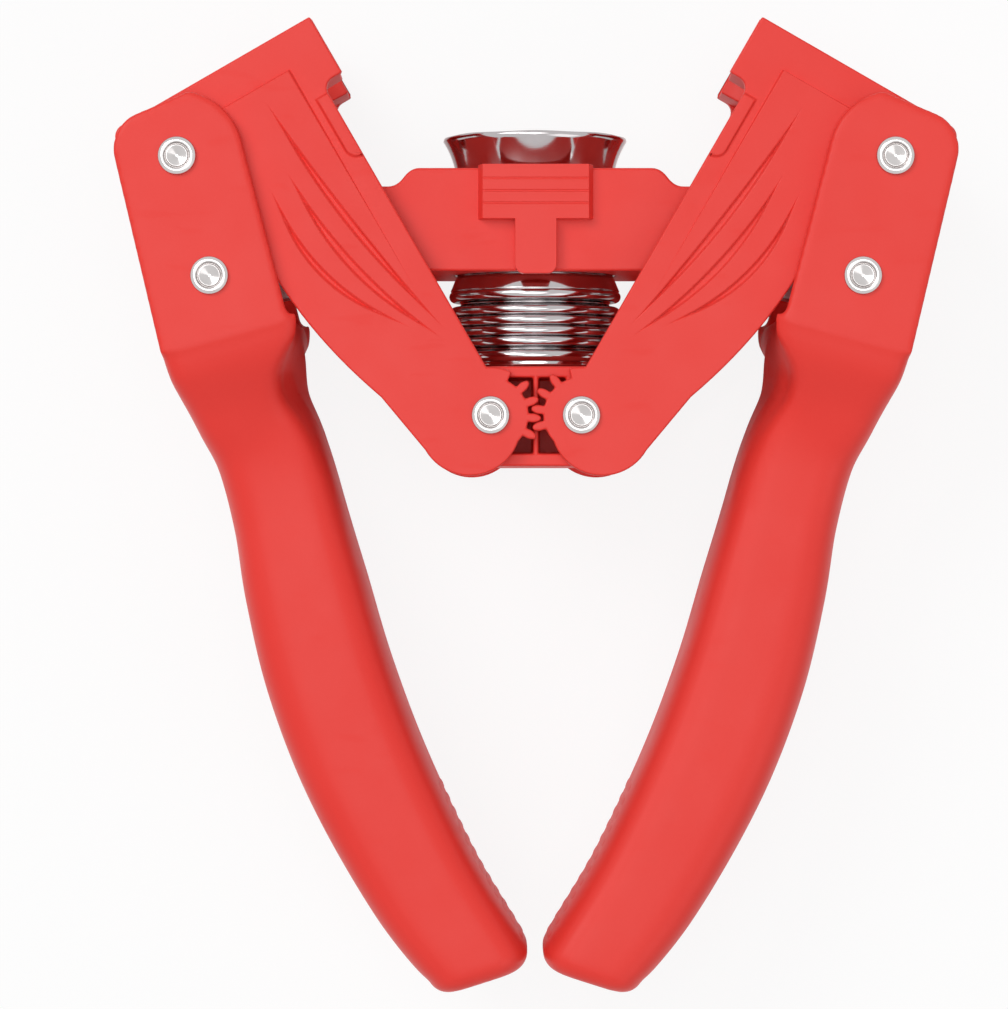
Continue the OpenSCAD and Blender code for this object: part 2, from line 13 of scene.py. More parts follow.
import bmesh
import bpy
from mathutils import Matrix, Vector


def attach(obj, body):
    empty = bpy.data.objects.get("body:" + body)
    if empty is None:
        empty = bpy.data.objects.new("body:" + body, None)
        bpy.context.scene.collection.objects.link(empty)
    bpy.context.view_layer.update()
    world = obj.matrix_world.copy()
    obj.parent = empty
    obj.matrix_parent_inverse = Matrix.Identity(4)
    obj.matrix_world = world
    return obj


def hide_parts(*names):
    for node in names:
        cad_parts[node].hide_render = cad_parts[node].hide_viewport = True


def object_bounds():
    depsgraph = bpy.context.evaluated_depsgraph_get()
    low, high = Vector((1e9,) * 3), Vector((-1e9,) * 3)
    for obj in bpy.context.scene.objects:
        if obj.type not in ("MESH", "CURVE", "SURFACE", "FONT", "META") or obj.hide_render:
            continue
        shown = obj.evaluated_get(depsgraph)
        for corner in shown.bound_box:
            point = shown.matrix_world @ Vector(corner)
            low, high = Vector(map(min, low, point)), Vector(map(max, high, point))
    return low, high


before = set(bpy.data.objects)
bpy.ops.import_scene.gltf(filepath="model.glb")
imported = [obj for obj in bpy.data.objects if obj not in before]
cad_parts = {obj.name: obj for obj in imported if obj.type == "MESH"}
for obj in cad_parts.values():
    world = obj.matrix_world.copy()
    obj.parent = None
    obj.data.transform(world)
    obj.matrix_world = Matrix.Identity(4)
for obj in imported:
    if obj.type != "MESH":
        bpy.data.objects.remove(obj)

CAD_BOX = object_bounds()
MM = 0.001
TINY = 1e-6
LOG = logging.getLogger("capper")

Point2 = tuple[float, float]
Number = Union[int, float]


class Side(Enum):
    """The two mirrored halves of the tool."""

    LEFT = "left"
    RIGHT = "right"

    @property
    def sign(self) -> int:
        """-1 on the left, 1 on the right."""
        return 1 if self is Side.RIGHT else -1


class Slot(Enum):
    """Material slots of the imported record."""

    RED_PLASTIC = "red_plastic"
    RIVET_STEEL = "rivet_steel"
    BELL_CHROME = "bell_chrome"
    LINK_STEEL = "link_steel"
    MAGNET = "magnet"


# Node trees


class Sock:
    """A node socket that takes part in Python arithmetic."""

    def __init__(self, book: "NodeBook", socket: Any) -> None:
        """Wraps one output socket of a node in the book's tree."""
        self.book = book
        self.socket = socket

    def _math(self, operation: str, first: Any, second: Any = 0.0) -> "Sock":
        """Adds one Math node for an operator."""
        return self.book.node("ShaderNodeMath", {"operation": operation}, {0: first, 1: second})

    def __add__(self, other: Any) -> "Sock":
        """self + other"""
        return self._math("ADD", self, other)

    def __radd__(self, other: Any) -> "Sock":
        """other + self"""
        return self._math("ADD", other, self)

    def __sub__(self, other: Any) -> "Sock":
        """self - other"""
        return self._math("SUBTRACT", self, other)

    def __rsub__(self, other: Any) -> "Sock":
        """other - self"""
        return self._math("SUBTRACT", other, self)

    def __mul__(self, other: Any) -> "Sock":
        """self * other"""
        return self._math("MULTIPLY", self, other)

    def __rmul__(self, other: Any) -> "Sock":
        """other * self"""
        return self._math("MULTIPLY", other, self)

    def __truediv__(self, other: Any) -> "Sock":
        """self / other"""
        return self._math("DIVIDE", self, other)

    def __gt__(self, other: Any) -> "Sock":
        """1 where self is above other, else 0"""
        return self._math("GREATER_THAN", self, other)

    def __lt__(self, other: Any) -> "Sock":
        """1 where self is below other, else 0"""
        return self._math("LESS_THAN", self, other)

    def cosine(self) -> "Sock":
        """Cosine of the value."""
        return self._math("COSINE", self)

    def angle_to(self, other: Any) -> "Sock":
        """Angle whose tangent is self over other."""
        return self._math("ARCTAN2", self, other)

    def clamped(self) -> "Sock":
        """The value kept between 0 and 1."""
        return self.book.node("ShaderNodeClamp", {}, {"Value": self})


class NodeBook:
    """Writes nodes into one shader or geometry tree."""

    def __init__(self, tree: bpy.types.NodeTree) -> None:
        """Starts from an empty tree."""
        self.tree = tree
        tree.nodes.clear()

    @staticmethod
    def _find(sockets: Any, key: Union[int, str]) -> Any:
        """Finds a socket by index, identifier or name."""
        if isinstance(key, int):
            return sockets[key]
        for socket in sockets:
            if socket.identifier == key:
                return socket
        return sockets[key]

    def node(
        self,
        kind: str,
        settings: Optional[dict[str, Any]] = None,
        inputs: Optional[dict[Union[int, str], Any]] = None,
        output: Union[int, str] = 0,
    ) -> Sock:
        """Adds a node.

        Args:
            kind: the node's type.
            settings: attributes set first.
            inputs: values or links of its sockets.
            output: which output to hand back.

        Returns:
            The wrapped output socket.
        """
        made = self.tree.nodes.new(kind)
        for name, value in (settings or {}).items():
            setattr(made, name, value)
        for key, value in (inputs or {}).items():
            socket = self._find(made.inputs, key)
            if isinstance(value, Sock):
                self.tree.links.new(value.socket, socket)
            else:
                socket.default_value = value
        return Sock(self, self._find(made.outputs, output) if len(made.outputs) else None)

    def mixed(self, share: Any, first: Any, second: Any) -> Sock:
        """Mixes two colours by a share.

        Args:
            share: 0 for the first colour, 1 for the second.
            first: a colour or a link.
            second: a colour or a link.

        Returns:
            The mixed colour.
        """
        return self.node(
            "ShaderNodeMix",
            {"data_type": "RGBA"},
            {"Factor_Float": share, "A_Color": first, "B_Color": second},
            "Result_Color",
        )


class ShaderBook(NodeBook):
    """Writes the nodes of one material."""

    def place(self, stretch: Sequence[Number] = (1, 1, 1)) -> Sock:
        """Object coordinates, stretched along the axes."""
        spot = self.node("ShaderNodeTexCoord", output="Object")
        return self.node("ShaderNodeMapping", {}, {"Vector": spot, "Scale": tuple(stretch)})

    def noise(self, size_mm: float, detail: float = 2.0, stretch: Sequence[Number] = (1, 1, 1)) -> Sock:
        """Noise between 0 and 1.

        Args:
            size_mm: size of its patches.
            detail: octaves of finer noise.
            stretch: scale along the axes.

        Returns:
            The noise value.
        """
        return self.node(
            "ShaderNodeTexNoise",
            {},
            {"Vector": self.place(stretch), "Scale": 1 / (size_mm * MM), "Detail": detail},
            "Fac",
        )

    def bump(self, height: Any, distance_mm: float, strength: float) -> Sock:
        """A bump from a height.

        Args:
            height: the height link.
            distance_mm: what a height of 1 stands for.
            strength: share of the bump that shows.

        Returns:
            The bumped normal.
        """
        return self.node(
            "ShaderNodeBump", {}, {"Height": height, "Distance": distance_mm * MM, "Strength": strength}
        )

    def surface(self, inputs: dict[str, Any]) -> None:
        """Ends the material in a Principled shader with these inputs."""
        shader = self.node("ShaderNodeBsdfPrincipled", {}, inputs)
        self.node("ShaderNodeOutputMaterial", {}, {"Surface": shader})


def linear(red: int, green: int, blue: int) -> tuple[float, float, float, float]:
    """Turns an sRGB colour of 0 to 255 into linear light."""
    def curve(value: float) -> float:
        """One channel of the sRGB curve."""
        return value / 12.92 if value <= 0.04045 else ((value + 0.055) / 1.055) ** 2.4
    return (curve(red / 255), curve(green / 255), curve(blue / 255), 1.0)


# Finishes


@dataclass(frozen=True)
class Finish:
    """A finish that makes its own material."""

    name: str

    def material(self) -> bpy.types.Material:
        """Gives the material, made on first use."""
        found = bpy.data.materials.get(self.name)
        if found is None:
            found = bpy.data.materials.new(self.name)
            found.use_nodes = True
            self.write(ShaderBook(found.node_tree))
        return found

    def write(self, book: ShaderBook) -> None:
        """Writes the nodes of the finish."""
        raise NotImplementedError


@dataclass(frozen=True)
class MouldedPlastic(Finish):
    """Satin moulded plastic with a fine skin grain, soft flow marks and slight handling marks."""

    body: tuple[float, float, float, float]
    deep: tuple[float, float, float, float]
    gloss: float = 0.4
    specular: float = 0.25

    def write(self, book: ShaderBook) -> None:
        """Colour drifts slowly, gloss breaks up in handled patches, and the skin is finely grained."""
        drift = book.noise(46, 2)
        speck = book.noise(0.7, 1)
        handled = book.noise(9, 4)
        scuff = book.noise(3.2, 3, (0.22, 1, 1))
        colour = book.mixed((drift * 0.8 + speck * 0.2).clamped(), self.deep, self.body)
        rough = self.gloss + (handled - 0.5) * 0.16 + (scuff > 0.66) * 0.05
        grain = book.noise(0.45, 2)
        flow = book.noise(16, 1)
        skin = book.bump(grain * 0.5 + flow * 1.6, 0.05, 0.35)
        book.surface({
            "Base Color": colour,
            "Roughness": rough.clamped(),
            "Normal": skin,
            "IOR": 1.5,
            "Specular IOR Level": self.specular,
            "Coat Weight": 0.0,
        })


@dataclass(frozen=True)
class PlatedMetal(Finish):
    """Bright metal with fine drawn lines and slight patches."""

    tint: tuple[float, float, float, float]
    shade: tuple[float, float, float, float]
    rough: float
    lines: Sequence[float] = (1, 1, 1)
    line_mm: float = 0.5
    line_depth: float = 0.15

    def write(self, book: ShaderBook) -> None:
        """Tint and gloss vary in patches, and drawn lines follow the way it was made."""
        patch = book.noise(6, 3)
        line = book.noise(self.line_mm, 2, self.lines)
        colour = book.mixed(patch.clamped(), self.shade, self.tint)
        rough = self.rough + (patch - 0.5) * 0.08 + (line - 0.5) * 0.08
        book.surface({
            "Base Color": colour,
            "Metallic": 1.0,
            "Roughness": rough.clamped(),
            "Normal": book.bump(line, 0.02, self.line_depth),
        })


@dataclass(frozen=True)
class FloorWhite(Finish):
    """White paper floor: near white to the eye, dimmer in reflections, and shaded by the object."""

    paper: tuple[float, float, float, float]
    glow: float = 0.88
    mirrored_glow: float = 0.25

    def write(self, book: ShaderBook) -> None:
        """Adds an even glow for the rays that look at the floor, beside its own lit surface.

        A reflection sees less of the glow, so that it keeps the shade under the tool.
        """
        fibre = book.noise(2.5, 2)
        colour = book.mixed(fibre, self.paper, linear(250, 250, 250))
        lit = book.node("ShaderNodeBsdfDiffuse", {}, {"Color": colour})
        white = book.node("ShaderNodeEmission", {}, {"Color": (1, 1, 1, 1), "Strength": 1.0})
        share = looked_at(book, self.mirrored_glow / self.glow) * self.glow
        both = book.node("ShaderNodeMixShader", {}, {0: share, 1: lit, 2: white})
        book.node("ShaderNodeOutputMaterial", {}, {"Surface": both})


def looked_at(book: NodeBook, mirrored: float = 1.0) -> Sock:
    """Tells the rays that look at a surface from those that only light it.

    Args:
        book: the book to write in.
        mirrored: what a reflection counts for.

    Returns:
        1 for rays from the camera or a clear body, the given share for a reflection, else 0.
    """
    def ray(name: str) -> Sock:
        """One kind of ray."""
        return book.node("ShaderNodeLightPath", output=name)
    return (ray("Is Camera Ray") + ray("Is Glossy Ray") * mirrored + ray("Is Transmission Ray")).clamped()


RED = MouldedPlastic("red_moulded_plastic", linear(239, 67, 59), linear(232, 55, 48))
BELL_CHROME = PlatedMetal(
    "bell_chrome_plate", linear(194, 189, 190), linear(176, 171, 172), 0.10, (1, 6, 1), 1.2, 0.12
)
RIVET = PlatedMetal(
    "rivet_bright_steel", linear(214, 210, 209), linear(190, 186, 185), 0.2, (1, 1, 1), 0.35, 0.2
)
LINK = PlatedMetal(
    "link_rolled_steel", linear(186, 186, 188), linear(160, 160, 163), 0.34, (5, 1, 1), 0.8, 0.3
)
POST = PlatedMetal(
    "post_drawn_steel", linear(196, 196, 198), linear(170, 170, 173), 0.26, (1, 0.1, 1), 0.3, 0.3
)
MAGNET = PlatedMetal(
    "magnet_dark_nickel", linear(96, 96, 100), linear(70, 70, 74), 0.32, (1, 1, 1), 0.4, 0.25
)


# Mesh work


class Bench:
    """Mesh tools that every sub-assembly uses."""

    merge_mm: float = 0.02
    flat_degrees: float = 0.6
    round_share: float = 0.48

    @staticmethod
    def add(name: str, mesh: bpy.types.Mesh) -> bpy.types.Object:
        """Puts a mesh into the scene at the origin."""
        obj = bpy.data.objects.new(name, mesh)
        bpy.context.scene.collection.objects.link(obj)
        return obj

    @staticmethod
    def evaluated(obj: bpy.types.Object) -> bpy.types.Mesh:
        """Gives a plain mesh of what an object's modifiers make."""
        bpy.context.view_layer.update()
        graph = bpy.context.evaluated_depsgraph_get()
        return bpy.data.meshes.new_from_object(obj.evaluated_get(graph), depsgraph=graph)

    @staticmethod
    def settle(obj: bpy.types.Object) -> bpy.types.Object:
        """Bakes the modifiers into a plain mesh and removes them.

        Args:
            obj: the object with live modifiers.

        Returns:
            The same object on its final mesh.
        """
        mesh = Bench.evaluated(obj)
        obj.modifiers.clear()
        old = obj.data
        obj.data = mesh
        mesh.name = obj.name
        bpy.data.meshes.remove(old)
        return obj

    @staticmethod
    def from_points(
        name: str, points: Iterable[Sequence[float]], faces: Iterable[Sequence[int]]
    ) -> bpy.types.Mesh:
        """Makes a closed mesh from millimetre points.

        Args:
            name: the mesh's name.
            points: places in millimetres.
            faces: corner numbers of each face.

        Returns:
            The mesh, with its faces pointing outwards.
        """
        mesh = bpy.data.meshes.new(name)
        mesh.from_pydata([[c * MM for c in p] for p in points], [], [list(f) for f in faces])
        shape = bmesh.new()
        shape.from_mesh(mesh)
        bmesh.ops.remove_doubles(shape, verts=shape.verts, dist=TINY)
        bmesh.ops.recalc_face_normals(shape, faces=shape.faces)
        shape.to_mesh(mesh)
        shape.free()
        return mesh

    @staticmethod
    def tube(name: str, rings: Sequence[Sequence[Sequence[float]]]) -> bpy.types.Mesh:
        """Makes a solid through a row of rings, closed at both ends.

        Args:
            name: the mesh's name.
            rings: the rings, each with the same number of millimetre points.

        Returns:
            The closed mesh.
        """
        n = len(rings[0])
        faces: list[Sequence[int]] = [list(range(n)), [(len(rings) - 1) * n + k for k in range(n)]]
        for i in range(len(rings) - 1):
            for k in range(n):
                j = (k + 1) % n
                faces.append((i * n + k, (i + 1) * n + k, (i + 1) * n + j, i * n + j))
        return Bench.from_points(name, [p for ring in rings for p in ring], faces)

    @staticmethod
    def merged_copy(node: str) -> bpy.types.Mesh:
        """Copies a CAD node's mesh, joins its loose triangles and clears slivers and lines across flats.

        Args:
            node: the CAD node.

        Returns:
            The joined copy.
        """
        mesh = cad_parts[node].data.copy()
        mesh.materials.clear()
        shape = bmesh.new()
        shape.from_mesh(mesh)
        bmesh.ops.remove_doubles(shape, verts=shape.verts, dist=Bench.merge_mm * MM)
        bmesh.ops.dissolve_degenerate(shape, dist=Bench.merge_mm * MM, edges=shape.edges)
        bmesh.ops.dissolve_limit(
            shape, angle_limit=math.radians(Bench.flat_degrees), use_dissolve_boundaries=False,
            verts=shape.verts, edges=shape.edges,
        )
        shape.to_mesh(mesh)
        shape.free()
        return mesh

    @staticmethod
    def soften(
        obj: bpy.types.Object, width_mm: float, segments: int = 3, angle: float = 32.0
    ) -> bpy.types.Object:
        """Rounds the sharp edges and shades the flats evenly.

        Args:
            obj: the object.
            width_mm: how far the round reaches from the edge.
            segments: faces across the round.
            angle: edges sharper than this are rounded, in degrees.

        Returns:
            The same object on its final mesh.
        """
        bevel = obj.modifiers.new("edge_round", "BEVEL")
        bevel.width = width_mm * MM
        bevel.segments = segments
        bevel.limit_method = "ANGLE"
        bevel.angle_limit = math.radians(angle)
        bevel.use_clamp_overlap = False
        for face in obj.data.polygons:
            face.use_smooth = True
        even = obj.modifiers.new("even_shading", "WEIGHTED_NORMAL")
        even.keep_sharp = True
        even.weight = 80
        return Bench.settle(obj)

    @staticmethod
    def revolve(name: str, profile: Sequence[Point2], segments: int = 128) -> bpy.types.Mesh:
        """Turns a closed profile of (radius, height) about the bell axis.

        Args:
            name: the mesh's name.
            profile: the profile, in millimetres.
            segments: steps round the axis.

        Returns:
            The turned mesh, with smooth faces.
        """
        points: list[tuple[float, float, float]] = []
        for step in range(segments):
            turn = 2 * math.pi * step / segments
            points += [(r * math.cos(turn), y, r * math.sin(turn)) for r, y in profile]
        count = len(profile)
        faces = []
        for step in range(segments):
            here, there = step * count, (step + 1) % segments * count
            for i in range(count):
                j = (i + 1) % count
                if profile[i][0] < TINY and profile[j][0] < TINY:
                    continue
                faces.append((here + i, there + i, there + j, here + j))
        mesh = Bench.from_points(name, points, faces)
        mesh.shade_smooth()
        return mesh

    @staticmethod
    def dress(
        obj: bpy.types.Object, finish: Finish, body: str, slot: Slot, nodes: Sequence[str] = ()
    ) -> None:
        """Gives a piece its finish, its body and the nodes that it stands for.

        Args:
            obj: the piece.
            finish: its finish.
            body: the CAD body that it rides on.
            slot: the record's material slot, not used.
            nodes: CAD nodes that it replaces.
        """
        obj.data.materials.clear()
        obj.data.materials.append(finish.material())
        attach(obj, body)
        if nodes:
            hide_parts(*nodes)
        LOG.info("%s rides on %s with %d faces", obj.name, body, len(obj.data.polygons))

    @staticmethod
    def rounded(profile: Sequence[tuple[float, float, float]], steps: int = 5) -> list[Point2]:
        """Rounds the corners of a closed profile.

        Args:
            profile: corners as (x, y, radius).
            steps: segments of each round.

        Returns:
            The profile with arcs in place of its corners.
        """
        made: list[Point2] = []
        count = len(profile)
        for i, (x, y, radius) in enumerate(profile):
            here = Vector((x, y))
            before = Vector(profile[i - 1][:2]) - here
            after = Vector(profile[(i + 1) % count][:2]) - here
            if radius <= 0 or before.length < TINY or after.length < TINY:
                made.append((x, y))
                continue
            half = before.angle(after) / 2
            most = min(before.length * Bench.round_share, after.length * Bench.round_share)
            reach = min(radius / math.tan(half), most)
            start, end = here + before.normalized() * reach, here + after.normalized() * reach
            for k in range(steps + 1):
                t = k / steps
                spot = start * (1 - t) ** 2 + here * 2 * t * (1 - t) + end * t * t
                made.append((spot.x, spot.y))
        return made


# Geometry node trees


class GeometryBook(NodeBook):
    """Writes a geometry tree with named inputs that ends in real faces with a material."""

    def __init__(self, name: str, sizes: dict[str, str]) -> None:
        """Makes the tree.

        Args:
            name: the tree's name.
            sizes: its input names and their socket types.
        """
        tree = bpy.data.node_groups.new(name, "GeometryNodeTree")
        tree.interface.new_socket("Geometry", in_out="INPUT", socket_type="NodeSocketGeometry")
        self.keys: dict[str, str] = {}
        for label, kind in sizes.items():
            made = tree.interface.new_socket(label, in_out="INPUT", socket_type=kind)
            self.keys[label] = made.identifier
        stuff = tree.interface.new_socket("Finish", in_out="INPUT", socket_type="NodeSocketMaterial")
        self.keys["Finish"] = stuff.identifier
        tree.interface.new_socket("Geometry", in_out="OUTPUT", socket_type="NodeSocketGeometry")
        super().__init__(tree)
        self.entry = tree.nodes.new("NodeGroupInput")

    def size(self, label: str) -> Sock:
        """One named input of the tree."""
        return Sock(self, self.entry.outputs[label])

    def close(self, shape: Sock) -> None:
        """Ends the tree in real faces with the finish."""
        real = self.node("GeometryNodeRealizeInstances", {}, {0: shape})
        dressed = self.node("GeometryNodeSetMaterial", {}, {
            "Geometry": real, "Material": self.size("Finish"),
        })
        out = self.tree.nodes.new("NodeGroupOutput")
        self.tree.links.new(dressed.socket, out.inputs[0])

    def attach(self, obj: bpy.types.Object, finish: Finish, values: dict[str, Any]) -> None:
        """Puts the tree on an object.

        Args:
            obj: the object that the tree starts from.
            finish: the finish of the result.
            values: the inputs, by name.
        """
        step = obj.modifiers.new("nodes", "NODES")
        step.node_group = self.tree
        step[self.keys["Finish"]] = finish.material()
        for label, value in values.items():
            step[self.keys[label]] = value

    def run(self, obj: bpy.types.Object, finish: Finish, values: dict[str, Any]) -> bpy.types.Object:
        """Runs the tree on an object and keeps the result as its mesh.

        Args:
            obj: the object that the tree starts from.
            finish: the finish of the result.
            values: the inputs, by name.

        Returns:
            The same object on its final mesh.
        """
        self.attach(obj, finish, values)
        Bench.settle(obj)
        obj.data.shade_smooth()
        return obj


def head_tree() -> GeometryBook:
    """A tree that sets one rivet head on each point and turns those at the back round."""
    book = GeometryBook("rivet_heads", {"Head": "NodeSocketObject", "Scale": "NodeSocketFloat"})
    spot = book.node("GeometryNodeInputPosition")
    depth = book.node("ShaderNodeSeparateXYZ", {}, {0: spot}, "Z")
    turn = book.node("ShaderNodeCombineXYZ", {}, {"X": (depth < 0.0) * math.pi})
    head = book.node("GeometryNodeObjectInfo", {}, {"Object": book.size("Head")}, "Geometry")
    row = book.node("GeometryNodeInstanceOnPoints", {}, {
        "Points": book.size("Geometry"), "Instance": head, "Rotation": turn, "Scale": book.size("Scale"),
    })
    book.close(row)
    return book


def rib_tree() -> GeometryBook:
    """A tree that lays rounded finger ribs side by side along a path, across the grip."""
    book = GeometryBook("finger_ribs", {"Count": "NodeSocketInt", "Rib": "NodeSocketObject"})
    path = book.node("GeometryNodeResampleCurve", {}, {
        "Curve": book.size("Geometry"), "Count": book.size("Count"),
    })
    along = book.node("GeometryNodeInputTangent")
    turn = book.node("FunctionNodeAlignEulerToVector", {"axis": "X"}, {"Vector": along})
    rib = book.node("GeometryNodeObjectInfo", {}, {"Object": book.size("Rib")}, "Geometry")
    row = book.node("GeometryNodeInstanceOnPoints", {}, {"Points": path, "Instance": rib, "Rotation": turn})
    book.close(row)
    return book


def ring_tree() -> GeometryBook:
    """A tree that stacks round beads up the bell axis."""
    book = GeometryBook("sleeve_beads", {
        "Count": "NodeSocketInt", "Foot": "NodeSocketFloat", "Pitch": "NodeSocketFloat",
        "Radius": "NodeSocketFloat", "Bead": "NodeSocketFloat",
    })
    start = book.node("ShaderNodeCombineXYZ", {}, {"Y": book.size("Foot")})
    step = book.node("ShaderNodeCombineXYZ", {}, {"Y": book.size("Pitch")})
    stack = book.node("GeometryNodeMeshLine", {}, {
        "Count": book.size("Count"), "Start Location": start, "Offset": step,
    })
    circle = "GeometryNodeCurvePrimitiveCircle"
    hoop = book.node(circle, {}, {"Resolution": 128, "Radius": book.size("Radius")})
    wire = book.node(circle, {}, {"Resolution": 16, "Radius": book.size("Bead")})
    bead = book.node("GeometryNodeCurveToMesh", {}, {"Curve": hoop, "Profile Curve": wire})
    row = book.node("GeometryNodeInstanceOnPoints", {}, {
        "Points": stack, "Instance": bead, "Rotation": (math.pi / 2, 0.0, 0.0),
    })
    book.close(row)
    return book


def rim_tree() -> GeometryBook:
    """A tree that waves the rim of a turned piece and leaves the rest as it is."""
    book = GeometryBook("waved_rim", {
        "Waves": "NodeSocketFloat", "Depth": "NodeSocketFloat",
        "From": "NodeSocketFloat", "Rim": "NodeSocketFloat",
    })
    spot = book.node("GeometryNodeInputPosition")
    across = book.node("ShaderNodeSeparateXYZ", {}, {0: spot}, "X")
    height = book.node("ShaderNodeSeparateXYZ", {}, {0: spot}, "Y")
    deep = book.node("ShaderNodeSeparateXYZ", {}, {0: spot}, "Z")
    share = ((height - book.size("From")) / (book.size("Rim") - book.size("From"))).clamped()
    wave = 0.5 - (deep.angle_to(across) * book.size("Waves")).cosine() * 0.5
    drop = share * wave * book.size("Depth")
    shift = book.node("ShaderNodeCombineXYZ", {}, {"Y": 0.0 - drop})
    moved = book.node("GeometryNodeSetPosition", {}, {"Geometry": book.size("Geometry"), "Offset": shift})
    book.close(moved)
    return book


# Sub-assemblies


@dataclass
class CadPiece:
    """A rigid piece that keeps its CAD shape and gets moulded or broken edges."""

    node: str
    body: str
    finish: Finish
    slot: Slot
    edge_mm: float = 0.5
    segments: int = 3

    def shape(self) -> bpy.types.Mesh:
        """Gives the copy whose edges are softened."""
        return Bench.merged_copy(self.node)

    def build(self) -> bpy.types.Object:
        """Makes the softened copy and stands it in for the node."""
        obj = Bench.add(self.node + "_moulded", self.shape())
        Bench.soften(obj, self.edge_mm, self.segments)
        Bench.dress(obj, self.finish, self.body, self.slot, [self.node])
        return obj


@dataclass
class BellClip(CadPiece):
    """A T-shaped clip, with steeper ends on its bar than the CAD's draft."""

    bar_from: float = 8.0
    foot_z: float = 20.5
    face_z: float = 23.9
    out: float = 1.2

    def shape(self) -> bpy.types.Mesh:
        """Draws the bar's ends out towards the face."""
        mesh = super().shape()
        for vert in mesh.vertices:
            if abs(vert.co.x) > self.bar_from * MM:
                rise = (abs(vert.co.z) / MM - self.foot_z) / (self.face_z - self.foot_z)
                vert.co.x += math.copysign(self.out * MM, vert.co.x) * min(1.0, max(0.0, rise))
        return mesh


@dataclass
class RivetSet:
    """The tubular rivets of one body: bright heads with a turned ring and a cupped end, front and back."""

    name: str
    body: str
    places: Sequence[Point2]
    face: float
    shank_r: float
    nodes: Sequence[str]
    head_r: float = 4.2
    head_t: float = 1.4
    cup_r: float = 2.35
    cup_depth: float = 1.15
    groove_out: float = 0.28
    groove_depth: float = 0.9
    brow_in: float = 0.7
    brow_drop: float = 0.5

    def head(self) -> bpy.types.Object:
        """Makes one head, with its shank to the middle plane, pointing along +Z."""
        top = self.head_t
        ring = self.cup_r + self.groove_out
        profile = Bench.rounded([
            (0.0, top - self.cup_depth, 0), (0.3, top - self.cup_depth, 0.2), (self.cup_r, top - 0.25, 0.2),
            (ring, top - self.groove_depth, 0.05), (ring + 0.25, top - 0.1, 0.15), (ring + 0.5, top, 0.3),
            (self.head_r - self.brow_in, top, 0.5), (self.head_r - 0.05, top - self.brow_drop, 0.4),
            (self.head_r, 0.0, 0.05),
            (self.shank_r, 0.0, 0), (self.shank_r, -self.face, 0), (0.0, -self.face, 0),
        ], 4)
        mesh = Bench.revolve(self.name + "_head", profile, 64)
        for vert in mesh.vertices:
            x, y, z = vert.co
            vert.co = (x, -z, y)
        mesh.update()
        return Bench.add(self.name + "_head", mesh)

    def build(self, tree: GeometryBook) -> bpy.types.Object:
        """Sets a head on each place, front and back.

        Args:
            tree: the tree that sets the heads.

        Returns:
            The set as one piece.
        """
        head = self.head()
        points = [(x, y, side * self.face) for x, y in self.places for side in (1, -1)]
        seat = bpy.data.meshes.new(self.name)
        seat.from_pydata([[c * MM for c in p] for p in points], [], [])
        obj = Bench.add(self.name, seat)
        tree.run(obj, RIVET, {"Head": head, "Scale": 1.0})
        bpy.data.objects.remove(head)
        Bench.dress(obj, RIVET, self.body, Slot.RIVET_STEEL, self.nodes)
        return obj


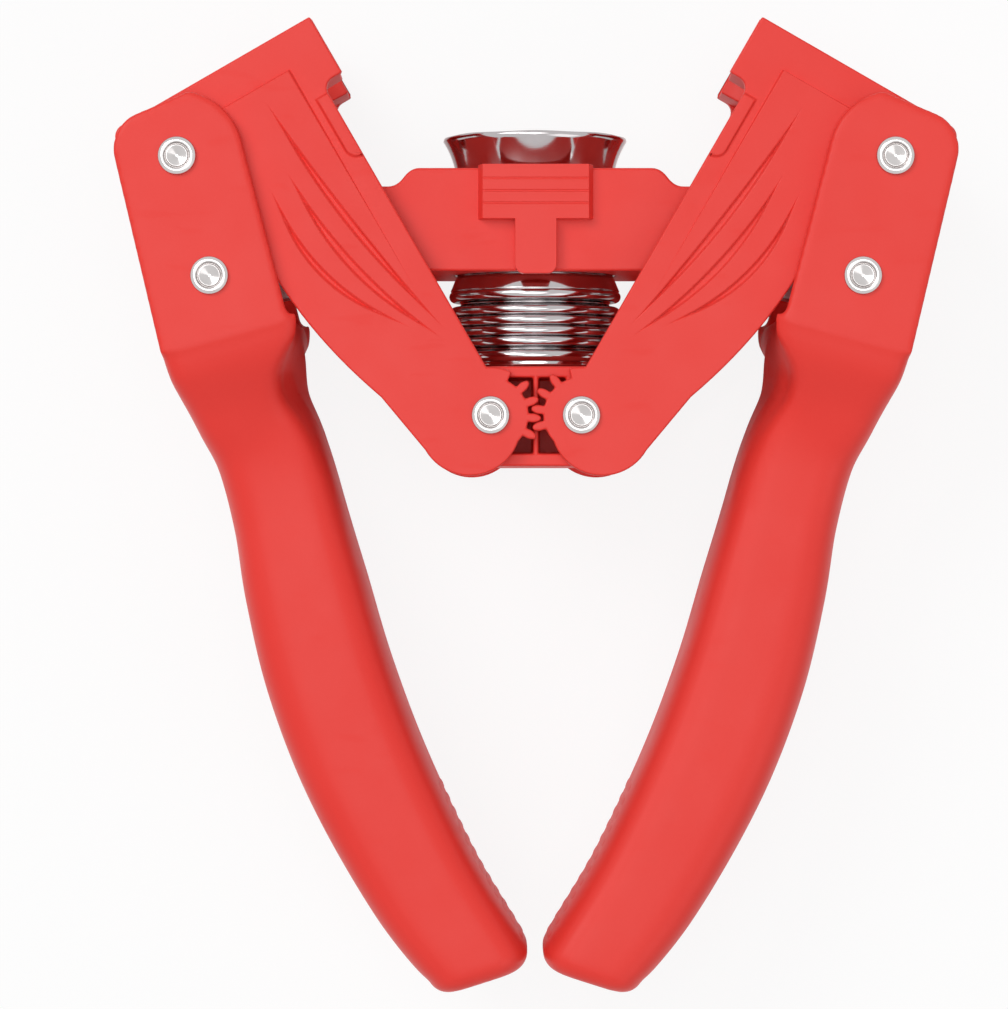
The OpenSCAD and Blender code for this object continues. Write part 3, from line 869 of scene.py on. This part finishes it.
@dataclass
class GripLever:
    """One moulded lever: two round fork cheeks, a soft neck and a curved grip with finger ribs.

    A station holds its place across and along as shares of the reach, its share of the half width and its
    share of the fork's depth. Places along the grip count stations.
    """

    side: Side
    pivot: Point2 = (78.633, 5.177)
    neck: Point2 = (68.333, -33.323)
    link_rivet: Point2 = (71.533, -21.023)
    reach: float = 141.0
    half_width: float = 14.35
    stations: Sequence[tuple[float, float, float, float]] = (
        (0, 0, 1.03, 1), (-0.014, -0.051, 1.017, 0.86), (-0.034, -0.117, 0.9, 0.43),
        (-0.0635, -0.185, 0.871, 0.13), (-0.092, -0.29, 0.885, 0), (-0.118, -0.403, 0.962, 0),
        (-0.1565, -0.546, 1, 0), (-0.217, -0.703, 0.986, 0), (-0.307, -0.876, 0.909, 0),
        (-0.3925, -1, 0.815, 0),
    )
    half_depth: float = 20.0
    cheek_in: float = 28.8
    cheek_out: float = 32.8
    cheek_r: float = 14.4
    cheek_inner: float = 14.18
    cheek_outer: float = 14.75
    cheek_sunk: float = 1.5
    cheek_corner_r: float = 8.5
    cheek_corner_out: float = 12.5
    cheek_arc_end: float = 100.0
    cheek_side_turn: float = -12.0
    scoop: float = 4.2
    scoop_place: float = 1.6
    scoop_reach: tuple[float, float] = (1.1, 2.2)
    scoop_rise: tuple[float, float] = (0.2, 0.6)
    lobe: float = 2.0
    lobe_reach: float = 1.3
    lobe_rise: tuple[float, float] = (0.88, 0.05)
    grip_power: float = 0.46
    fork_power_drop: float = 0.34
    slab_lift: float = 12.6
    tilt: float = -30.0
    boss_r: float = 5.0
    boss_from: float = 5.3
    boss_sunk: float = 1.0
    boss_corners: int = 48
    tip_round: float = 4.0
    tip_turn: float = 17.0
    tip_steps: int = 8
    steps: int = 12
    corners: int = 64
    voxel: float = 0.68
    easing: int = 9
    rib_span: tuple[float, float] = (7.35, 8.85)
    rib_count: int = 12
    rib_width: float = 2.3
    rib_out: float = 0.3
    rib_half: float = 13.0
    rib_sag: float = 0.95

    def _station(self, u: float) -> list[float]:
        """Smooth station values at a place along the grip."""
        last = len(self.stations) - 1
        i = min(int(u), last - 1)
        t = u - i
        a, b, c, d = (self.stations[max(0, min(last, i + k))] for k in (-1, 0, 1, 2))
        across, along, wide, fork = (
            q + t / 2 * (r - p + t * (2 * p - 5 * q + 4 * r - s + t * (3 * (q - r) + s - p)))
            for p, q, r, s in zip(a, b, c, d)
        )
        return [across * self.reach, along * self.reach, wide * self.half_width, max(0.0, fork)]

    def _heading(self, u: float) -> float:
        """Direction of the grip at a place along it."""
        last = len(self.stations) - 1
        ahead, back = self._station(min(last, u + 0.02)), self._station(max(0, u - 0.02))
        return math.atan2(ahead[1] - back[1], ahead[0] - back[0])

    def _spot(self, u: float, ahead: float, across: float) -> Point2:
        """A point beside the grip's middle line, turned with the end face near the tip."""
        late = max(0.0, u - len(self.stations) + 2)
        s, turn = self._station(u), self._heading(u) + math.radians(self.tip_turn) * late ** 2
        return (
            self.neck[0] + s[0] + ahead * math.cos(turn) - across * math.sin(turn),
            self.neck[1] + s[1] + ahead * math.sin(turn) + across * math.cos(turn),
        )

    def _ring(self, u: float, shrink: float, ahead: float) -> list[tuple[float, float, float]]:
        """One ring round the grip."""
        s = self._station(u)
        fork = s[3]
        deep = self.half_depth + fork * (self.cheek_out - self.half_depth)
        power = self.grip_power - self.fork_power_drop * fork
        made = []
        for k in range(self.corners):
            b = 2 * math.pi * k / self.corners
            c, d = math.cos(b), math.sin(b)
            rise = abs(d) ** power
            across = (s[2] - shrink) * math.copysign(abs(c) ** power, c)
            if c < 0:
                across += self._inner_relief(u, rise) * abs(c) ** power
            x, y = self._spot(u, ahead, across)
            made.append((x, y, (deep - shrink) * math.copysign(rise, d)))
        return made

    def _inner_relief(self, u: float, rise: float) -> float:
        """How far the inner wall draws back at the neck, towards the faces.

        Args:
            u: the place along the grip.
            rise: share of the half depth, 1 at a face.

        Returns:
            The draw-back in millimetres, below 0 where the fork's foot stands out.
        """
        def fading(share: float) -> float:
            """1 at a share of 0, falling smoothly to 0 at a share of 1."""
            return 0.5 + 0.5 * math.cos(math.pi * min(1.0, abs(share)))

        def coming(start: float, length: float) -> float:
            """0 up to a start on the rise, and 1 a length further on."""
            return min(1.0, max(0.0, (rise - start) / length))

        past = u - self.scoop_place
        reach = self.scoop_reach[0] if past < 0 else self.scoop_reach[1]
        hollow = self.scoop * fading(past / reach) * coming(*self.scoop_rise)
        foot = self.lobe * fading(u / self.lobe_reach) * coming(*self.lobe_rise)
        return hollow - foot

    def _grip(self) -> bpy.types.Mesh:
        """The swept grip."""
        last = len(self.stations) - 1
        rings = [self._ring(i / self.steps, 0, 0) for i in range(last * self.steps + 1)]
        for i in range(1, self.tip_steps + 1):
            q = math.pi / 2 * i / self.tip_steps
            rings.append(self._ring(last, self.tip_round * (1 - math.cos(q)), self.tip_round * math.sin(q)))
        return Bench.tube("grip", rings)

    def _arc(self, centre: Point2, radius: float, start: float, end: float, count: int) -> list[Point2]:
        """Points on an arc, in degrees."""
        angles = [math.radians(start + (end - start) * i / count) for i in range(count + 1)]
        return [(centre[0] + radius * math.cos(a), centre[1] + radius * math.sin(a)) for a in angles]

    def _cheek_outline(self) -> list[Point2]:
        """Outline of a fork cheek: round on both sides of a top that slopes with the jaw slab."""
        slab = 90 + self.tilt
        a = math.radians(self.tilt)
        along = self.cheek_corner_out - self.cheek_corner_r
        up = self.slab_lift - self.cheek_corner_r
        corner = (
            self.pivot[0] + along * math.cos(a) - up * math.sin(a),
            self.pivot[1] + along * math.sin(a) + up * math.cos(a),
        )
        inner = math.degrees(self._heading(0)) + 270
        return (
            [self._spot(0, self.cheek_sunk, -self.cheek_inner)]
            + self._arc(self.pivot, self.cheek_r, inner, self.cheek_arc_end, 32)
            + self._arc(corner, self.cheek_corner_r, slab, self.cheek_side_turn, 16)
            + [self._spot(0, self.cheek_sunk, self.cheek_outer)]
        )

    def _prism(self, outline: Sequence[Point2], low: float, high: float) -> bpy.types.Mesh:
        """A straight solid on an outline."""
        n = len(outline)
        points = [(x, y, low) for x, y in outline] + [(x, y, high) for x, y in outline]
        faces: list[Sequence[int]] = [list(range(n)), list(range(n, 2 * n))]
        faces += [(i, (i + 1) % n, (i + 1) % n + n, i + n) for i in range(n)]
        return Bench.from_points("prism", points, faces)

    def _body(self) -> bpy.types.Mesh:
        """Grip, cheeks and bosses in one mesh, still as separate closed shells."""
        shape = bmesh.new()
        shells = [self._grip()]
        outline = self._cheek_outline()
        steps = self.boss_corners - 1
        boss = self._arc(self.link_rivet, self.boss_r, 0, 360 * steps / self.boss_corners, steps)
        for sign in (1, -1):
            low, high = sorted((sign * self.cheek_in, sign * self.cheek_out))
            shells.append(self._prism(outline, low, high))
            low, high = sorted((sign * self.boss_from, sign * (self.cheek_in + self.boss_sunk)))
            shells.append(self._prism(boss, low, high))
        for shell in shells:
            shape.from_mesh(shell)
            bpy.data.meshes.remove(shell)
        if self.side is Side.LEFT:
            for vert in shape.verts:
                vert.co.x = -vert.co.x
            bmesh.ops.reverse_faces(shape, faces=shape.faces)
        mesh = bpy.data.meshes.new("lever")
        shape.to_mesh(mesh)
        shape.free()
        return mesh

    def build(self) -> bpy.types.Object:
        """Melts the shells into one moulding with soft edges."""
        name = f"{self.side.value}_lever"
        obj = Bench.add(name + "_moulded", self._body())
        melt = obj.modifiers.new("melt", "REMESH")
        melt.mode = "VOXEL"
        melt.voxel_size = self.voxel * MM
        melt.use_smooth_shade = True
        ease = obj.modifiers.new("ease", "SMOOTH")
        ease.factor = 0.5
        ease.iterations = self.easing
        Bench.settle(obj)
        Bench.dress(obj, RED, name, Slot.RED_PLASTIC, [name])
        return obj

    def build_ribs(self, tree: GeometryBook) -> bpy.types.Object:
        """Lays the finger ribs along the inner edge of the grip.

        Args:
            tree: the tree that lays them.

        Returns:
            The ribs as one piece.
        """
        name = f"{self.side.value}_finger_ribs"
        curve = bpy.data.curves.new(name + "_path", "CURVE")
        curve.dimensions = "3D"
        line = curve.splines.new("POLY")
        start, end = self.rib_span
        count = 40
        line.points.add(count)
        for i in range(count + 1):
            u = start + (end - start) * i / count
            x, y = self._spot(u, 0, -self._station(u)[2])
            line.points[i].co = (self.side.sign * x * MM, y * MM, 0, 1)
        rib = Bench.add(name + "_rib", self._rib())
        path = bpy.data.objects.new(name, curve)
        bpy.context.scene.collection.objects.link(path)
        tree.attach(path, RED, {"Count": self.rib_count, "Rib": rib})
        mesh = Bench.evaluated(path)
        bpy.data.objects.remove(path)
        bpy.data.objects.remove(rib)
        obj = Bench.add(name, mesh)
        Bench.dress(obj, RED, f"{self.side.value}_lever", Slot.RED_PLASTIC)
        return obj

    def _rib(self) -> bpy.types.Mesh:
        """One finger rib, which runs out into the wall at both ends."""
        around, steps, least = 16, 12, 0.02
        rings = []
        for i in range(steps + 1):
            share = 2 * i / steps - 1
            out = max(least, self.rib_out * math.sqrt(1 - share * share))
            sag = -self.side.sign * self.rib_sag * share ** 4
            turns = [2 * math.pi * k / around for k in range(around)]
            rings.append([
                (self.rib_width / 2 * math.cos(a), out * math.sin(a) - sag, share * self.rib_half)
                for a in turns
            ])
        return Bench.tube("rib", rings)


@dataclass
class BellSet:
    """The chromed bell with its waved rim, and the ribbed sleeve below the carriage."""

    body: str = "carriage"
    seat_r: float = 14.35
    seat_length: float = 7.0
    bell_r: float = 18.3
    rim_r: float = 20.8
    rim_y: float = 12.0
    foot_y: float = -19.3
    crown_y: float = 3.63
    throat_r: float = 18.0
    flare_from: Point2 = (18.42, 7.35)
    rim_edge: float = 0.8
    rim_lip: tuple[float, float] = (0.2, 1.5)
    lead_in: Point2 = (1.2, 0.8)
    magnet_y: float = -3.0
    roof_y: float = -7.0
    spigot_r: float = 15.0
    spigot_y: float = -27.3
    bore_r: float = 12.1
    magnet_r: float = 5.03
    sleeve_foot: float = -40.3
    sleeve_r: float = 19.5
    waist_y: float = -22.9
    rim_waves: float = 8.0
    rim_wave_depth: float = 0.15
    collar_lift: tuple[float, float] = (2.4, 16.2)
    collar_bead: float = 1.35
    rib_lift: float = 5.6
    rib_count: int = 4
    rib_pitch: float = 2.37
    rib_bead: float = 1.2
    rib_sunk: float = 0.2
    core_sunk: float = 1.5
    groove_sunk: float = 2.7
    shoulder_sunk: tuple[float, float] = (0.3, 1.8)

    def _trumpet(self) -> list[tuple[float, float, float]]:
        """The bell's side above the carriage, flaring more and more towards the rim."""
        start, end = (self.throat_r, self.crown_y), (self.rim_r, self.rim_y - self.rim_edge)
        made = []
        for i in range(13):
            t = i / 12
            r, y = (
                a * (1 - t) ** 2 + b * 2 * t * (1 - t) + c * t * t
                for a, b, c in zip(start, self.flare_from, end)
            )
            made.append((r, y, 0.0))
        return made

    def build_bell(self, tree: GeometryBook) -> bpy.types.Object:
        """Turns the bell and waves its rim.

        Args:
            tree: the tree that waves the rim.

        Returns:
            The bell.
        """
        profile = Bench.rounded([
            (self.bore_r, self.spigot_y, 0.2), (self.spigot_r, self.spigot_y, 0.3),
            (self.spigot_r, self.foot_y, 0),
            (self.bell_r, self.foot_y, 0.5), (self.bell_r, self.crown_y, 0), *self._trumpet(),
            (self.rim_r - self.rim_lip[0], self.rim_y, 0.5), (self.rim_r - self.rim_lip[1], self.rim_y, 0.6),
            (self.seat_r + self.lead_in[0], self.seat_length + self.lead_in[1], 1.0),
            (self.seat_r, self.seat_length, 0.8), (self.seat_r, 0, 0.6), (self.magnet_r, 0, 0.2),
            (self.magnet_r, self.magnet_y, 0), (0, self.magnet_y, 0), (0, self.roof_y, 0),
            (self.bore_r, self.roof_y, 0.3),
        ], 6)
        obj = Bench.add("bell_chromed", Bench.revolve("bell", profile, 160))
        tree.run(obj, BELL_CHROME, {
            "Waves": self.rim_waves, "Depth": self.rim_wave_depth * MM,
            "From": self.seat_length * MM, "Rim": self.rim_y * MM,
        })
        Bench.dress(obj, BELL_CHROME, self.body, Slot.BELL_CHROME, ["bell"])
        return obj

    def build_sleeve(self, tree: GeometryBook) -> list[bpy.types.Object]:
        """Turns the sleeve and stacks its beads.

        Args:
            tree: the tree that stacks the beads.

        Returns:
            The sleeve, its ribs and its collars.
        """
        foot = self.sleeve_foot
        low, high = (foot + lift for lift in self.collar_lift)
        first = foot + self.rib_lift
        last = first + (self.rib_count - 1) * self.rib_pitch
        core, groove = self.sleeve_r - self.core_sunk, self.sleeve_r - self.groove_sunk
        waist_r, top_r = (self.sleeve_r - sunk for sunk in self.shoulder_sunk)
        profile = Bench.rounded([
            (self.bore_r, foot, 0.2), (core, foot, 0.5), (core, low, 0), (groove, (low + first) / 2, 0.4),
            (core, first, 0), (core, last, 0), (groove, (last + high) / 2, 0.4), (core, high, 0),
            (waist_r, self.waist_y, 0.3), (top_r, self.foot_y, 0.2), (self.spigot_r, self.foot_y, 0),
            (self.spigot_r, self.spigot_y, 0), (self.bore_r, self.spigot_y, 0),
        ], 5)
        sleeve = Bench.add("sleeve_chromed", Bench.revolve("sleeve", profile, 128))
        Bench.dress(sleeve, BELL_CHROME, self.body, Slot.BELL_CHROME, ["ribbed_sleeve"])
        made = [sleeve]
        stacks = (
            ("sleeve_ribs", self.rib_count, first, self.rib_pitch, self.rib_bead, self.rib_sunk),
            ("sleeve_collars", 2, low, high - low, self.collar_bead, 0.0),
        )
        for name, count, start, step, bead, sunk in stacks:
            obj = Bench.add(name, bpy.data.meshes.new(name))
            tree.run(obj, BELL_CHROME, {
                "Count": count, "Foot": start * MM, "Pitch": step * MM,
                "Radius": (self.sleeve_r - bead - sunk) * MM, "Bead": bead * MM,
            })
            Bench.dress(obj, BELL_CHROME, self.body, Slot.BELL_CHROME)
            made.append(obj)
        return made


@dataclass(frozen=True)
class Lamp:
    """One soft square lamp, with its place and width in metres and its power in watts."""

    name: str
    place: tuple[float, float, float]
    size: float
    power: float

    def hang(self, target: Sequence[float]) -> None:
        """Hangs the lamp so that it faces a target."""
        lamp = bpy.data.lights.new(self.name, "AREA")
        lamp.shape = "SQUARE"
        lamp.size = self.size
        lamp.energy = self.power
        obj = bpy.data.objects.new(self.name, lamp)
        obj.location = self.place
        way = Vector(target) - Vector(self.place)
        obj.rotation_euler = way.to_track_quat("-Z", "Y").to_euler()
        bpy.context.scene.collection.objects.link(obj)


@dataclass
class Studio:
    """Floor, light and camera at the photograph's view."""

    eye: tuple[float, float, float] = (-7.04, -71.19, 878.5)
    front: float = 28.5
    field_width: float = 221.76
    sensor: float = 36.0
    sight: float = 20.0
    lamps: Sequence[Lamp] = (
        Lamp("key_lamp", (-1.0, 0.8, 1.7), 0.9, 14.5),
        Lamp("front_softbox", (-0.08, 0.0, 1.7), 0.9, 7.0),
        Lamp("fill_lamp", (1.2, -0.9, 1.5), 1.2, 4.0),
    )
    lamp_target: tuple[float, float, float] = (0.0, -0.07, 0.0)
    sky: float = 0.4
    floor_reach: float = 4.0
    floor_gap: float = 0.0002
    floor_paper: tuple[float, float, float, float] = field(default_factory=lambda: linear(246, 246, 246))

    def camera(self) -> None:
        """Looks straight down on the front face."""
        lens = bpy.data.cameras.new("photo_camera")
        lens.sensor_fit = "HORIZONTAL"
        lens.sensor_width = self.sensor
        lens.lens = self.sensor * (self.eye[2] - self.front) / self.field_width
        lens.clip_end = self.sight
        obj = bpy.data.objects.new("photo_camera", lens)
        obj.location = [c * MM for c in self.eye]
        bpy.context.scene.collection.objects.link(obj)
        bpy.context.scene.camera = obj

    def floor(self) -> None:
        """Lays the pale floor under the tool."""
        low = CAD_BOX[0][2] - self.floor_gap
        reach = self.floor_reach
        mesh = bpy.data.meshes.new("floor")
        corners = [(-reach, -reach, low), (reach, -reach, low), (reach, reach, low), (-reach, reach, low)]
        mesh.from_pydata(corners, [], [(0, 1, 2, 3)])
        obj = Bench.add("floor", mesh)
        mesh.materials.append(FloorWhite("floor_paper", self.floor_paper).material())

    def world(self) -> None:
        """An even white surround, full white only where it is looked at."""
        world = bpy.data.worlds.new("studio")
        world.use_nodes = True
        book = NodeBook(world.node_tree)
        strength = looked_at(book) * (1.0 - self.sky) + self.sky
        glow = book.node("ShaderNodeBackground", {}, {"Color": (1, 1, 1, 1), "Strength": strength})
        book.node("ShaderNodeOutputWorld", {}, {"Surface": glow})
        bpy.context.scene.world = world

    def build(self) -> None:
        """Sets up the whole stage."""
        self.camera()
        self.floor()
        for lamp in self.lamps:
            lamp.hang(self.lamp_target)
        self.world()
        bpy.context.scene.view_settings.view_transform = "Standard"


HUB_RIVETS: Sequence[Point2] = ((-10, -51.5), (10, -51.5))
HUB_FACE, LEVER_FACE, LINK_FACE = 28.6, 32.9, 32.8
SHANK_R, LINK_SHANK_R = 3.0, 2.5


def main() -> None:
    """Builds the sub-assemblies in order and reports each piece."""
    logging.basicConfig(level=logging.INFO, format="%(name)s: %(message)s")
    Studio().build()
    heads, ribs, beads, rim = head_tree(), rib_tree(), ring_tree(), rim_tree()
    red, steel = Slot.RED_PLASTIC, Slot.LINK_STEEL
    CadPiece("hub_block", "hub", RED, red, 0.5).build()
    CadPiece("bell_carriage", "carriage", RED, red, 0.6).build()
    for end in ("front", "rear"):
        BellClip(f"{end}_bell_clip", "carriage", RED, red, 0.12, 2).build()
    CadPiece("guide_post", "hub", POST, Slot.RIVET_STEEL, 0.3).build()
    CadPiece("cap_magnet", "carriage", MAGNET, Slot.MAGNET, 0.3).build()
    hub_nodes = ["left_hub_rivet", "right_hub_rivet"]
    RivetSet("hub_rivet_pair", "hub", HUB_RIVETS, HUB_FACE, SHANK_R, hub_nodes).build(heads)
    for side in Side:
        s, n = side.sign, side.value
        CadPiece(f"{n}_arm", f"{n}_arm", RED, red, 0.45).build()
        lever = GripLever(side)
        lever.build()
        lever.build_ribs(ribs)
        for kind, body, (x, y), face, shank in (
            ("lever", "arm", lever.pivot, LEVER_FACE, SHANK_R),
            ("link", "lever", lever.link_rivet, LINK_FACE, LINK_SHANK_R),
        ):
            rivet = f"{n}_{kind}_rivet"
            RivetSet(f"{rivet}_heads", f"{n}_{body}", [(s * x, y)], face, shank, [rivet]).build(heads)
        CadPiece(f"{n}_link", f"{n}_link", LINK, steel, 0.4).build()
        CadPiece(f"{n}_carriage_pin", "carriage", LINK, steel, 0.25).build()
    bells = BellSet()
    bells.build_bell(rim)
    bells.build_sleeve(beads)


if __name__ == "__main__":
    main()
